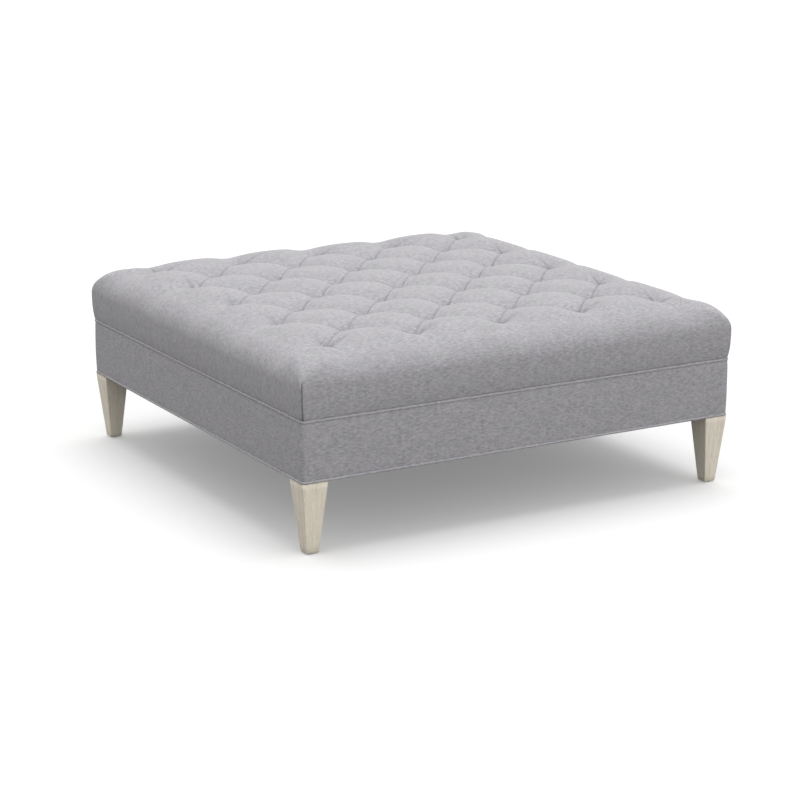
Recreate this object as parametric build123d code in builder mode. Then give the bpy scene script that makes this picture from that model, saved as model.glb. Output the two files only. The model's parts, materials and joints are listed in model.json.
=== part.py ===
from build123d import *
import os
from math import cos, pi, radians, sin, sqrt

os.makedirs("parts", exist_ok=True)

# A square, deep-tufted ottoman coffee table on four tapered legs, in millimetres
# The origin is on the floor under its middle, the front faces -Y and +Z is up

# Body and frame
body_side = 1067  # over two opposite apron faces
rail_height = 117
rail_thickness = 19
frame_corner_radius = 3  # eased upright edges of the frame
deck_thickness = 12
stretcher_thickness = 19
stretcher_height = 60
block_side = 100
block_height = 38
block_cut = 60  # diagonal cut across a corner block's free corner

# Legs and their fixings
leg_length = 153
leg_top_side = 58.6
leg_foot_side = 27.7
leg_edge_chamfer = 1.5
glide_height = 2
glide_diameter = 20
glide_sides = 8
bolt_diameter = 8
bolt_in_leg = 50
bolt_above_nut = 6
bolt_gap = 0.2
nut_flange_diameter = 22
nut_flange_thickness = 1.5
nut_barrel_diameter = 10
nut_barrel_length = 11
nut_sides = 8
nut_rail_gap = 1.5  # from the nut's flange to the rails

# Apron skin and the two welts
apron_padding_thickness = 4
apron_cover_thickness = 1.5
welt_diameter = 6
welt_cord_diameter = 3.6
welt_cord_gap = 0.2
welt_flange_thickness = 1.5
welt_flange_height = 22
welt_flange_bite = 0.6  # how deep the welt's tube is sewn into its flange
welt_sides = 8
welt_corner_steps = 3  # chords round each corner
welt_gap = 0.3
upper_welt_rise = 0.5  # centre of the upper welt above the deck
dust_cover_thickness = 0.8
dust_cover_setback = 6
dust_cover_leg_gap = 1.5

# Seat cushion: foam, batting and the sewn cover
foam_thickness = 90
batting_thickness = 8
batting_setback = 3  # from the frame's face
batting_corner_radius = 40
batting_edge_bevel = 30
soft_gap = 0.3
cover_bulge = 4  # belly of the cover's sides beyond the apron
cover_corner_radius = 8  # upright corner at the boxed seam
cover_tuft_thickness = 6  # cover and fill under a tuft
roll_radius = 58
roll_rise = 22  # crest of the edge roll above the tuft floor
crest_corner_radius = 112
tuft_corner_radius = 12
belly_pull_share = 0.3  # share of the bulge still drawn in at the lower third
belly_height_share = 0.35
roll_angles = (0, 22, 44, 66, 90)
inner_slope_shares = (0.35, 0.7, 1)

# Tufts on a square grid with a second grid in its gaps
tufts_per_side = 5
tuft_margin = 117.5  # outer row of tufts to the apron face
tuft_lift = 2  # fold corners above the tuft floor
pleat_gap = 1
pleat_rise = 22  # middle of a pleat above its tufts
crown_rise = 35  # crown of a pillow above its tufts
border_crown_rise = 33
border_end_rise = 13
border_landing_inset = 34  # from the cover's face to where a border pillow lands
border_landing_sink = 2
pillow_root = 3  # how deep a pillow is rooted below the tuft floor

# Tuft ties and their washers: the many small sections stay square or six-sided
tie_width = 2.5
tie_knot_width = 6
tie_knot_height = 4
tie_foam_hole = 12
tie_deck_hole = 8
tie_deck_hole_sides = 6
washer_width = 24
washer_thickness = 2
washer_bore_gap = 0.5
stretcher_place_share = 0.75  # of the tuft pitch, midway between tuft columns

# Levels
frame_base = glide_height + leg_length
deck_base = frame_base + rail_height
deck_top = deck_base + deck_thickness
foam_top = deck_top + foam_thickness
batting_top = foam_top + batting_thickness
tuft_floor = batting_top + cover_tuft_thickness
tuft_top = tuft_floor + tuft_lift
roll_crest = tuft_floor + roll_rise
roll_centre = roll_crest - roll_radius

# Distances from the middle
body_half = body_side / 2
frame_half = body_half - apron_padding_thickness - apron_cover_thickness
rail_inner_half = frame_half - rail_thickness
batting_half = frame_half - batting_setback
foam_half = batting_half - batting_thickness
cover_half = body_half + cover_bulge
tuft_row = body_half - tuft_margin
tuft_pitch = 2 * tuft_row / (tufts_per_side - 1)
leg_centre = body_half - leg_top_side / 2
bolt_place = rail_inner_half - nut_flange_diameter / 2 - nut_rail_gap
stretcher_place = stretcher_place_share * tuft_pitch

# Welts
welt_radius = welt_diameter / 2
welt_standoff = welt_flange_thickness - welt_flange_bite + welt_radius
lower_welt_level = frame_base + welt_radius + welt_gap
upper_welt_level = deck_top + upper_welt_rise
apron_base = lower_welt_level + welt_radius + welt_gap
apron_top = upper_welt_level - welt_radius - welt_gap
cover_base = upper_welt_level + welt_radius + welt_gap

corners = {"front_left": 0, "front_right": 90, "rear_right": 180, "rear_left": 270}
tuft_places = []
for count in (tufts_per_side, tufts_per_side - 1):
    tuft_places += GridLocations(tuft_pitch, tuft_pitch, count, count).local_locations


def finish(part, name):
    part.label = name
    export_step(part, f"parts/{name}.step")


def side_plane(turn, out, level):
    """Plane on one side of the body, facing outwards, with its y axis up."""
    facing = Vector(0, -1, 0).rotate(Axis.Z, turn)
    along = Vector(1, 0, 0).rotate(Axis.Z, turn)
    return Plane(origin=facing * out + Vector(0, 0, level), x_dir=along, z_dir=facing)


def corner_plane(turn, level):
    """Level plane turned so that the corner in hand lies in its third quadrant."""
    return Plane.XY.offset(level).rotated((0, 0, turn))


def frame_outline(offset):
    """Rounded square that stands off the frame's outer faces by an even offset."""
    side = 2 * (frame_half + offset)
    return RectangleRounded(side, side, frame_corner_radius + offset)


def band(inner_offset, outer_offset, base, top):
    """Upright band of cloth or padding that wraps the frame."""
    with BuildPart() as wrap:
        with BuildSketch(Plane.XY.offset(base)):
            frame_outline(outer_offset)
        extrude(amount=top - base)
        with BuildSketch(Plane.XY.offset(base)):
            frame_outline(inner_offset)
        extrude(amount=top - base, mode=Mode.SUBTRACT)
    return wrap.part


# Rails: the front and rear run the full width and the side rails butt between them
rails = {
    "front_rail": (0, frame_half),
    "right_rail": (90, rail_inner_half),
    "rear_rail": (180, frame_half),
    "left_rail": (270, rail_inner_half),
}
for name, (turn, half_length) in rails.items():
    with BuildPart() as rail:
        with BuildSketch(side_plane(turn, frame_half, frame_base)):
            with Locations((0, rail_height / 2)):
                Rectangle(2 * half_length, rail_height)
        extrude(amount=-rail_thickness)
        if half_length == frame_half:
            upright = rail.edges().filter_by(Axis.Z)
            fillet(upright.group_by(SortBy.DISTANCE)[-1], frame_corner_radius)
    finish(rail.part, name)

# Corner blocks, glued into the frame's corners, that the legs bolt to
block_end = rail_inner_half - block_side
block_cut_start = block_end + block_cut
for corner, turn in corners.items():
    with BuildPart() as block:
        with BuildSketch(corner_plane(turn, frame_base)):
            with BuildLine():
                Polyline(
                    (-rail_inner_half, -rail_inner_half),
                    (-block_end, -rail_inner_half),
                    (-block_end, -block_cut_start),
                    (-block_cut_start, -block_end),
                    (-rail_inner_half, -block_end),
                    close=True,
                )
            make_face()
            with Locations((-bolt_place, -bolt_place)):
                Circle(nut_barrel_diameter / 2 + bolt_gap, mode=Mode.SUBTRACT)
        extrude(amount=block_height)
    finish(block.part, f"corner_block_{corner}")

# Stretchers under the deck, between the tuft columns
for end, name in ((-1, "left_stretcher"), (1, "right_stretcher")):
    with BuildPart() as stretcher:
        with BuildSketch(Plane.XY.offset(deck_base)):
            with Locations((end * stretcher_place, 0)):
                Rectangle(stretcher_thickness, 2 * rail_inner_half)
        extrude(amount=-stretcher_height)
    finish(stretcher.part, name)

# Deck board, bored for the tuft ties
with BuildPart() as deck_board:
    with BuildSketch(Plane.XY.offset(deck_base)):
        frame_outline(0)
        with Locations(*tuft_places):
            RegularPolygon(tie_deck_hole / 2, tie_deck_hole_sides, mode=Mode.SUBTRACT)
    extrude(amount=deck_thickness)
finish(deck_board.part, "deck_board")

# Legs, tapered alike on all four faces, flush with the apron at the top
bolt_hole_radius = bolt_diameter / 2 + bolt_gap
for corner, turn in corners.items():
    with BuildPart() as leg:
        for level, side in ((frame_base, leg_top_side), (glide_height, leg_foot_side)):
            with BuildSketch(corner_plane(turn, level)) as section:
                with Locations((-leg_centre, -leg_centre)):
                    Rectangle(side, side)
                chamfer(section.vertices(), leg_edge_chamfer)
        loft()
        with BuildSketch(corner_plane(turn, frame_base)):
            with Locations((-bolt_place, -bolt_place)):
                Circle(bolt_hole_radius)
        extrude(amount=-bolt_in_leg, mode=Mode.SUBTRACT)
    finish(leg.part, f"leg_{corner}")

# Glides under the feet
with BuildPart() as foot_glides:
    with BuildSketch():
        with GridLocations(2 * leg_centre, 2 * leg_centre, 2, 2):
            RegularPolygon(glide_diameter / 2, glide_sides)
    extrude(amount=glide_height)
finish(foot_glides.part, "foot_glides")

# Hanger bolts, screwed into the legs and up through the corner blocks
nut_seat = frame_base + block_height
bolt_foot = frame_base - bolt_in_leg
with BuildPart() as hanger_bolts:
    with BuildSketch(Plane.XY.offset(bolt_foot)):
        with GridLocations(2 * bolt_place, 2 * bolt_place, 2, 2):
            Circle(bolt_diameter / 2)
    extrude(amount=nut_seat + nut_flange_thickness + bolt_above_nut - bolt_foot)
finish(hanger_bolts.part, "hanger_bolts")

# T-nuts let into the corner blocks from above
with BuildPart() as leg_nuts:
    for diameter, rise in (
        (nut_flange_diameter, nut_flange_thickness),
        (nut_barrel_diameter, -nut_barrel_length),
    ):
        with BuildSketch(Plane.XY.offset(nut_seat)):
            with GridLocations(2 * bolt_place, 2 * bolt_place, 2, 2):
                RegularPolygon(diameter / 2, nut_sides)
                RegularPolygon(
                    bolt_hole_radius, nut_sides, major_radius=False, mode=Mode.SUBTRACT
                )
        extrude(amount=rise)
finish(leg_nuts.part, "leg_nuts")

# Padding and cloth round the apron
padding_outer = apron_padding_thickness
flange_room = welt_flange_thickness + welt_gap
with BuildPart() as apron_padding:
    add(band(0, padding_outer, apron_base, apron_top))
    for level, lean in ((apron_base, 1), (apron_top, -1)):
        with BuildSketch(Plane.XY.offset(level)):
            frame_outline(flange_room)
        extrude(amount=lean * welt_flange_height, mode=Mode.SUBTRACT)
finish(apron_padding.part, "apron_padding")
cloth_outer = apron_padding_thickness + apron_cover_thickness
finish(band(padding_outer, cloth_outer, apron_base, apron_top), "apron_cover")


def welt_route(level):
    """Closed path round the frame, its corners in short chords."""
    reach = frame_half + welt_standoff
    corner_radius = frame_corner_radius + welt_standoff
    points = [Vector(0, -reach, level)]
    for turn in corners.values():
        for step in range(welt_corner_steps + 1):
            angle = radians(step * 90 / welt_corner_steps)
            across = reach - corner_radius * (1 - sin(angle))
            along = -reach + corner_radius * (1 - cos(angle))
            points.append(Vector(across, along, level).rotate(Axis.Z, turn))
    with BuildLine() as route:
        Polyline(*points, close=True)
    return route.wire()


# Welts: a cord in a sewn tube whose flange is tacked to the frame
for name, level, lean in (("upper", upper_welt_level, -1), ("lower", lower_welt_level, 1)):
    path = welt_route(level)
    start = Plane(origin=path @ 0, x_dir=(0, 0, 1), z_dir=path % 0)
    with BuildPart() as cord:
        with BuildSketch(start):
            RegularPolygon(welt_cord_diameter / 2, welt_sides)
        sweep(path=path, transition=Transition.RIGHT)
    with BuildPart() as welt:
        with BuildSketch(start):
            RegularPolygon(welt_radius, welt_sides)
        sweep(path=path, transition=Transition.RIGHT)
        flange_ends = sorted((level, level + lean * welt_flange_height))
        add(band(0, welt_flange_thickness, *flange_ends))
        with BuildSketch(start):
            RegularPolygon(welt_cord_diameter / 2 + welt_cord_gap, welt_sides)
        sweep(path=path, transition=Transition.RIGHT, mode=Mode.SUBTRACT)
    finish(cord.part, f"{name}_welt_cord")
    finish(welt.part, f"{name}_welt")

# Cambric under the frame, cut out round the leg tops
dust_half = frame_half - dust_cover_setback
dust_notch = body_half - leg_top_side - dust_cover_leg_gap
with BuildPart() as dust_cover:
    with BuildSketch(Plane.XY.offset(frame_base)):
        Rectangle(2 * dust_half, 2 * dust_half)
        with GridLocations(dust_half + dust_notch, dust_half + dust_notch, 2, 2):
            notch = dust_half - dust_notch
            Rectangle(notch, notch, mode=Mode.SUBTRACT)
    extrude(amount=-dust_cover_thickness)
finish(dust_cover.part, "dust_cover")


def cushion_block(half, top, corner_radius, edge_bevel):
    """Block on the deck with rounded upright corners and a bevelled top edge."""
    with BuildPart() as shape:
        with BuildSketch(Plane.XY.offset(deck_top)):
            RectangleRounded(2 * half, 2 * half, corner_radius)
        extrude(amount=top - deck_top)
        chamfer(shape.faces().sort_by(Axis.Z)[-1].edges(), edge_bevel)
    return shape.part


foam_corner_radius = batting_corner_radius - batting_thickness
foam_edge_bevel = batting_edge_bevel - batting_thickness
foam_block = cushion_block(foam_half, foam_top, foam_corner_radius, foam_edge_bevel)
foam_pocket = cushion_block(
    foam_half + soft_gap, foam_top + soft_gap, foam_corner_radius + soft_gap, foam_edge_bevel
)
batting_block = cushion_block(
    batting_half, batting_top, batting_corner_radius, batting_edge_bevel
)
cover_pocket = cushion_block(
    batting_half + soft_gap,
    batting_top + soft_gap,
    batting_corner_radius + soft_gap,
    batting_edge_bevel,
)

# Foam slab and the batting over it, both holed for the tuft ties
with BuildPart() as seat_foam:
    add(foam_block)
    with BuildSketch(Plane.XY.offset(deck_top)):
        with Locations(*tuft_places):
            Rectangle(tie_foam_hole, tie_foam_hole)
    extrude(amount=foam_thickness, mode=Mode.SUBTRACT)
finish(seat_foam.part, "seat_foam")

with BuildPart() as batting:
    add(batting_block)
    add(foam_pocket, mode=Mode.SUBTRACT)
    with BuildSketch(Plane.XY.offset(foam_top)):
        with Locations(*tuft_places):
            Rectangle(tie_foam_hole, tie_foam_hole)
    extrude(amount=batting_thickness, mode=Mode.SUBTRACT)
finish(batting.part, "batting")


# Tufted cover: its sides, edge roll and the slope down to the outer tufts
def roll_height(inset):
    """Height of the edge roll's outer quarter at an inset from the cover's face."""
    return roll_centre + sqrt(roll_radius**2 - (roll_radius - inset) ** 2)


cover_sections = [
    (cover_base, cover_bulge, cover_corner_radius),
    (
        cover_base + belly_height_share * (roll_centre - cover_base),
        belly_pull_share * cover_bulge,
        cover_corner_radius,
    ),
]
for angle in roll_angles:
    turn = radians(angle)
    inset = roll_radius * (1 - cos(turn))
    softening = (crest_corner_radius - cover_corner_radius) * inset / roll_radius
    level = roll_centre + roll_radius * sin(turn)
    cover_sections.append((level, inset, cover_corner_radius + softening))
row_inset = cover_half - tuft_row
for share in inner_slope_shares:
    cover_sections.append(
        (
            roll_crest - roll_rise * (1 - cos(share * pi / 2)),
            roll_radius + share * (row_inset - roll_radius),
            crest_corner_radius + share * (tuft_corner_radius - crest_corner_radius),
        )
    )

# Pillow between four tufts: a square on its point, lowest at the tufts
pillow_half = tuft_pitch / (2 * sqrt(2)) - pleat_gap / 2


def pillow_height(across, along):
    """Height over a pillow at two shares of its half side, from -1 to 1."""
    rise_across = 1 - across**2
    rise_along = 1 - along**2
    spare_rise = 2 * pleat_rise - crown_rise
    rise = pleat_rise * (rise_across + rise_along) - spare_rise * rise_across * rise_along
    return tuft_top + rise


with BuildPart() as pillow:
    for share in (-1, -0.5, 0, 0.5, 1):
        foot = tuft_floor - pillow_root
        shoulder = pillow_height(share, 1)
        with BuildSketch(Plane.YZ.offset(share * pillow_half)):
            with BuildLine():
                Polyline(
                    (-pillow_half, shoulder),
                    (-pillow_half, foot),
                    (pillow_half, foot),
                    (pillow_half, shoulder),
                )
                ThreePointArc(
                    (pillow_half, shoulder),
                    (0, pillow_height(share, 0)),
                    (-pillow_half, shoulder),
                )
            make_face()
    loft()

# Border pillow: two pleats on its inner side, landing on the edge roll outside
border_reach = row_inset - border_landing_inset
landing_height = roll_height(border_landing_inset) - border_landing_sink
with BuildPart() as border_pillow:
    for share in (0, 0.5, 1):
        foot = tuft_floor - pillow_root
        inner = -(1 - share) * tuft_pitch / 2 + pleat_gap / sqrt(2)
        inner_height = pillow_height(2 * share - 1, 1)
        top_rise = border_end_rise + (border_crown_rise - border_end_rise) * (1 - share**2)
        with BuildSketch(Plane.YZ.offset(share * (tuft_pitch - pleat_gap) / 2)):
            with BuildLine():
                Polyline(
                    (inner, inner_height),
                    (inner, foot),
                    (border_reach, foot),
                    (border_reach, landing_height),
                )
                ThreePointArc(
                    (border_reach, landing_height),
                    ((inner + border_reach) / 2, tuft_top + top_rise),
                    (inner, inner_height),
                )
            make_face()
    loft()
    mirror(about=Plane.YZ)

with BuildPart() as tufted_cover:
    for level, inset, corner_radius in cover_sections:
        side = 2 * (cover_half - inset)
        with BuildSketch(Plane.XY.offset(level)):
            RectangleRounded(side, side, corner_radius)
    loft()
    cells, rows = tufts_per_side - 1, tufts_per_side - 2
    for columns, lines in ((cells, rows), (rows, cells)):
        with GridLocations(tuft_pitch, tuft_pitch, columns, lines):
            add(pillow.part, rotation=(0, 0, 45))
    for turn in corners.values():
        with Locations(Rotation(0, 0, turn)):
            with Locations((0, tuft_row)):
                with GridLocations(tuft_pitch, tuft_pitch, cells, 1):
                    add(border_pillow.part)
    add(cover_pocket, mode=Mode.SUBTRACT)
finish(tufted_cover.part, "tufted_cover")

# Ties that pull the cover down at every tuft, each knotted under a washer
tie_head = batting_top + soft_gap
washer_base = deck_base - washer_thickness
with BuildPart() as tuft_ties:
    for width, rise in ((tie_width, tie_head - washer_base), (tie_knot_width, -tie_knot_height)):
        with BuildSketch(Plane.XY.offset(washer_base)):
            with Locations(*tuft_places):
                Rectangle(width, width)
        extrude(amount=rise)
finish(tuft_ties.part, "tuft_ties")

washer_bore = tie_width + washer_bore_gap
with BuildPart() as tuft_washers:
    with BuildSketch(Plane.XY.offset(washer_base)):
        with Locations(*tuft_places):
            Rectangle(washer_width, washer_width)
            Rectangle(washer_bore, washer_bore, mode=Mode.SUBTRACT)
    extrude(amount=washer_thickness)
finish(tuft_washers.part, "tuft_washers")
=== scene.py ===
import json
from math import cos, floor, pi, radians, sin, sqrt, tan

import bpy
import numpy as np
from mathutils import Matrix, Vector


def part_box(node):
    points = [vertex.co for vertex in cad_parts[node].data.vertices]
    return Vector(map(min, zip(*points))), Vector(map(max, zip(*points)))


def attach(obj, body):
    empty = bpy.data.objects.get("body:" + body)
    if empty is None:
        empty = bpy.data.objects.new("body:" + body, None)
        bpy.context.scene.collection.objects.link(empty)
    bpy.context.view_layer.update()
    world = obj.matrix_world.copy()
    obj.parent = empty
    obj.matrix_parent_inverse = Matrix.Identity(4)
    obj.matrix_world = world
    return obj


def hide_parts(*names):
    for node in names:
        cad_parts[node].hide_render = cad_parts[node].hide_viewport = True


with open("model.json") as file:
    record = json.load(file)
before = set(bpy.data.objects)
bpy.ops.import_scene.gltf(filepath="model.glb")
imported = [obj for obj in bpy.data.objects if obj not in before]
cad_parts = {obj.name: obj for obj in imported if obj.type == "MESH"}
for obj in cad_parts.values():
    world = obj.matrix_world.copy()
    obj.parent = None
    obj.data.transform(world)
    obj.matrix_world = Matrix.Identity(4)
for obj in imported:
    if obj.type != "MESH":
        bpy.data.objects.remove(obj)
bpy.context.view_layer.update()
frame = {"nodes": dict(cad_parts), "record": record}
nodes = frame["nodes"]
scene = bpy.context.scene
MM = 0.001

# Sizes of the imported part, read from its nodes, in metres
cover_low, cover_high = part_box("tufted_cover")
batting_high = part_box("batting")[1]
deck_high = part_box("deck_board")[1]
ties_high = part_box("tuft_ties")[1]
apron_low, apron_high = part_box("apron_cover")
dust_low, dust_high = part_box("dust_cover")
leg_low, leg_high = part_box("leg_front_right")
bolts_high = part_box("hanger_bolts")[1]
frame_half = deck_high.x
frame_corner_radius = 3 * MM
corners = {"front_left": (-1, -1), "front_right": (1, -1), "rear_left": (-1, 1), "rear_right": (1, 1)}
tufts_per_side = 5
tie_knot_width = 6 * MM
tuft_row = ties_high.x - tie_knot_width / 2
pitch = 2 * tuft_row / (tufts_per_side - 1)
nearly_one = 0.999  # tells a point on a side or a line from one beside it
tiny = 1e-9  # keeps a division clear of zero
wave_spread = (0.7, 1.6)  # of the wavelengths in a random field


# Small tools for numbers
def blend_step(low, high, value):
    """Smooth step from 0 at low to 1 at high."""
    share = np.clip((value - low) / (high - low), 0, 1)
    return share * share * (3 - 2 * share)


def hump(value, width):
    """Bell curve of height 1."""
    return np.exp(-((value / width) ** 2))


def wander(seed, wavelength, count=9):
    """A smooth random field over the plan, mostly between -1 and 1."""
    dice = np.random.default_rng(seed)
    headings = dice.uniform(0, 2 * pi, count)
    phases = dice.uniform(0, 2 * pi, count)
    rates = 2 * pi / (wavelength * dice.uniform(*wave_spread, count))

    def field(across, along):
        total = np.zeros(np.broadcast(across, along).shape)
        for heading, phase, rate in zip(headings, phases, rates):
            total += np.sin(rate * (across * cos(heading) + along * sin(heading)) + phase)
        return total / sqrt(2 * count)

    return field


def on_side(plan):
    """Distance along the nearest of the four sides, for points of a square outline."""
    along_x = np.abs(plan[..., 1]) > np.abs(plan[..., 0])
    return np.where(along_x, plan[..., 0], plan[..., 1])


# Small tools for meshes
def placed(name, data):
    """A new object, put in the scene."""
    made = bpy.data.objects.new(name, data)
    scene.collection.objects.link(made)
    return made


def mesh_piece(name, points, faces, uv=None):
    """A smooth-shaded mesh object that rides on the body."""
    mesh = bpy.data.meshes.new(name)
    mesh.from_pydata(points.tolist(), [], faces)
    if uv is not None:
        layer = mesh.uv_layers.new(name="cloth")
        layer.data.foreach_set("uv", np.asarray(uv, np.float32).ravel())
    mesh.shade_smooth()
    mesh.validate()
    piece = placed(name, mesh)
    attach(piece, "root")
    return piece


def four_sides(quarter):
    """A plan outline made of one quarter and its three turns."""
    quarters = [quarter]
    for _ in range(3):
        last = quarters[-1]
        quarters.append(np.stack([-last[:, 1], last[:, 0]], 1))
    return np.concatenate(quarters)


def rounded_ring(half, radius, level, side_steps, corner_steps, hold=0):
    """Closed rounded square, anticlockwise from above, starting at its front left.
    Hold is the distance of two more points from a side's ends, which keep its corner crisp."""
    radius = min(max(radius, 0), half)
    reach = half - radius
    places = np.linspace(-reach, reach, side_steps + 1)[:-1]
    if hold:
        places = np.sort(np.concatenate([places, [hold - reach, reach - hold]]))
    angles = pi / 2 * np.arange(corner_steps) / corner_steps
    across = np.concatenate([places, reach + radius * np.sin(angles)])
    along = np.concatenate([np.full(len(places), -half), -half + radius * (1 - np.cos(angles))])
    plan = four_sides(np.stack([across, along], 1))
    return np.column_stack([plan, np.full(len(plan), level)])


def lattice(rows, columns):
    """Row and column numbers of the corners of the quads between rings."""
    row, column = np.meshgrid(np.arange(rows), np.arange(columns), indexing="ij")
    row, column = row.ravel(), column.ravel()
    face_rows = np.stack([row + 1, row + 1, row, row], 1)
    face_columns = np.stack([column, column + 1, column + 1, column], 1)
    return face_rows, face_columns


def run_lengths(rings, axis):
    """Mean distance from the start along rows or columns, with the wrap added."""
    steps = np.roll(rings, -1, axis=axis) - rings
    lengths = np.linalg.norm(steps, axis=2).mean(axis=1 - axis)
    return np.concatenate([[0], np.cumsum(lengths)])


def skin(name, rings, caps=()):
    """Mesh over a stack of rings whose rows run outwards and down on the outside. Its last row
    joins its first, or caps name the rows to close over, with 1 to face up and -1 down."""
    rings = np.asarray(rings)
    rows, columns = rings.shape[:2]
    face_rows, face_columns = lattice(rows - 1 if caps else rows, columns)
    faces = ((face_rows % rows) * columns + face_columns % columns).tolist()
    lengthwise, around = run_lengths(rings, 1), run_lengths(rings, 0)
    uv = np.stack([lengthwise[face_columns], around[face_rows]], 2).reshape(-1, 2)
    for row, turn in caps:
        faces.append((row * columns + np.arange(columns))[::turn].tolist())
        uv = np.concatenate([uv, rings[row, ::turn, :2]])
    return mesh_piece(name, rings.reshape(-1, 3), faces, uv)


# Seat cushion: the outline of its edge roll and sides
row_inset = cover_high.x - tuft_row
roll_radius = 58 * MM
roll_centre = 352 * MM
roll_turn = radians(70)  # where the roll hands over to the crowned top
roll_end_inset = roll_radius * (1 - cos(roll_turn))
roll_end_rise = roll_radius * sin(roll_turn)
crown_level = 426 * MM
corner_rise = 4 * MM
corner_rise_reach = 70 * MM
crown_inset = 116 * MM
side_lean = 4.5 * MM
side_lean_power = 3
upright_corner_radius = 8 * MM
crest_corner_radius = 112 * MM
corner_room_share = 0.96  # widest corner, of the way from the outer tufts
corner_blend = 5 * MM
hem_tuck = 0.6 * MM
hem_tuck_shares = (0.3, 1)
top_rings, roll_rings, side_rings = 24, 20, 16


def crown_profile(inset):
    """Level of the crowned top between the roll and the middle of the seat."""
    start_level = roll_centre + roll_end_rise
    run = crown_inset - roll_end_inset
    t = np.clip((inset - roll_end_inset) / run, 0, 1)
    rise = 3 * t**2 - 2 * t**3
    slope = run / tan(roll_turn) * t * (1 - t) ** 2
    return start_level * (1 - rise) + crown_level * rise + slope


def cushion_profile():
    """Insets and levels from the outer tufts, over the roll and down to the welt."""
    steps = np.linspace(0, 1, top_rings + 1) ** ring_crowding
    top = row_inset + (roll_end_inset - row_inset) * steps
    turns = np.linspace(roll_turn, 0, roll_rings + 1)[1:]
    side_level = np.linspace(roll_centre, cover_low.z + hem_tuck, side_rings + 1)[1:]
    fall = (roll_centre - side_level) / (roll_centre - cover_low.z)
    tuck_steps = hem_tuck * np.array(hem_tuck_shares)
    insets = [
        top,
        roll_radius * (1 - np.cos(turns)),
        side_lean * fall**side_lean_power,
        side_lean + tuck_steps,
    ]
    levels = [
        crown_profile(top),
        roll_centre + roll_radius * np.sin(turns),
        side_level,
        cover_low.z + hem_tuck - tuck_steps,
    ]
    return np.concatenate(insets), np.concatenate(levels)


def on_crown(level):
    """1 on the crowned top, fading to 0 down the roll."""
    return blend_step(0, roll_end_rise, level - roll_centre)


# Seat cushion: the lines of its mesh, closer together at the pleats, tufts and seams
fine_per_cell = 52
corner_steps = 64
pleat_crowding = 0.6
corner_crowding = 0.65
ring_crowding = 1.6
cells = (tufts_per_side - 1) * fine_per_cell
columns = 4 * (cells + corner_steps)


def crowded(x, y):
    """Even grid points, moved so that their lines crowd at both families of pleats."""
    wave = pleat_crowding * pitch / (2 * pi)
    first = wave * np.sin(2 * pi * (x - y) / pitch)
    second = wave * np.sin(2 * pi * (x + y) / pitch)
    return x - (first + second) / 2, y - (second - first) / 2


def cushion_ring(half, radius, level):
    """Ring whose straight part keeps the tufted middle's lines and whose corners fan out."""
    even = np.linspace(-tuft_row, tuft_row, cells + 1)[:-1]
    straight = crowded(even, -tuft_row)[0]
    side = np.column_stack([straight, np.full(cells, -half)])
    radius = min(max(radius, 0), half - tuft_row)
    lead = half - radius - tuft_row
    share = np.arange(corner_steps) / corner_steps
    crowd = 0.5 + 0.5 * (2 * share - 1) ** 3
    share = (1 - corner_crowding) * share + corner_crowding * crowd
    distance = share * (2 * lead + radius * pi / 2)
    angle = np.clip((distance - lead) / max(radius, tiny), 0, pi / 2)
    before = np.minimum(distance, lead)
    after = np.maximum(distance - lead - radius * pi / 2, 0)
    corner_x = tuft_row + before + radius * np.sin(angle)
    corner_y = -half + radius * (1 - np.cos(angle)) + after
    plan = four_sides(np.concatenate([side, np.column_stack([corner_x, corner_y])]))
    return np.column_stack([plan, np.full(len(plan), level)])


def corner_radius_at(inset, level):
    """Plan radius of the cushion's corner: tight at the seam, wide over the roll, and
    blended into the room that is left towards the outer tufts."""
    if level <= roll_centre:
        return upright_corner_radius
    spread = crest_corner_radius - upright_corner_radius
    growing = upright_corner_radius + spread * inset / roll_radius
    room = corner_room_share * (row_inset - inset)
    return -corner_blend * np.log(np.exp(-growing / corner_blend) + np.exp(-room / corner_blend))


# Seat cushion: the diamond pillows between its tufts
tuft_level = 389 * MM
pleat_share = 0.32  # depth of a pleat's middle, of its tufts' depth
pillow_power = 2.4
dish_depth = 4 * MM  # of the inner pillows below the border
dish_reach = 55 * MM
border_reach = 1.25  # how much faster a pit rises outside the outer tufts
column_dip = 5 * MM  # of the border beside each outer tuft
column_dip_width = 38 * MM
column_dip_start = 40 * MM
pillow_spread = 2 * MM  # of the pillows' heights
pillow_seed = 7
swell_height = 1.2 * MM
swell_wavelength = 300 * MM
swell = wander(3, swell_wavelength)


def nearest(value, spacing):
    """Signed distance to the nearest multiple of spacing, counted from the outer row."""
    shifted = value + tuft_row + spacing / 2
    return np.mod(shifted, spacing) - spacing / 2


def pleat_distances(x, y):
    """Signed distances to the nearest pleat of each diagonal family."""
    first = np.mod(x - y + pitch / 2, pitch) - pitch / 2
    second = np.mod(x + y + pitch / 2, pitch) - pitch / 2
    return first / sqrt(2), second / sqrt(2)


def tuft_distance(x, y):
    """Distance to the nearest tuft of either grid."""
    on_rows = np.hypot(nearest(x, pitch), nearest(y, pitch))
    between = np.hypot(nearest(x - pitch / 2, pitch), nearest(y - pitch / 2, pitch))
    return np.minimum(on_rows, between)


def beside_tuft(value):
    """Distance along a side to the nearest tuft of its row, also past the row's ends."""
    inside = np.abs(nearest(np.clip(value, -tuft_row, tuft_row), pitch))
    return inside + np.maximum(np.abs(value) - tuft_row, 0)


def pillow_drop(share_a, share_b):
    """Depth below the crown, of the tufts' depth, at two shares of the way to the pleats."""
    round_a = 1 - np.abs(share_a) ** pillow_power
    round_b = 1 - np.abs(share_b) ** pillow_power
    rise = 1 - pleat_share
    return 1 - rise * (round_a + round_b) + (2 * rise - 1) * round_a * round_b


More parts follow.
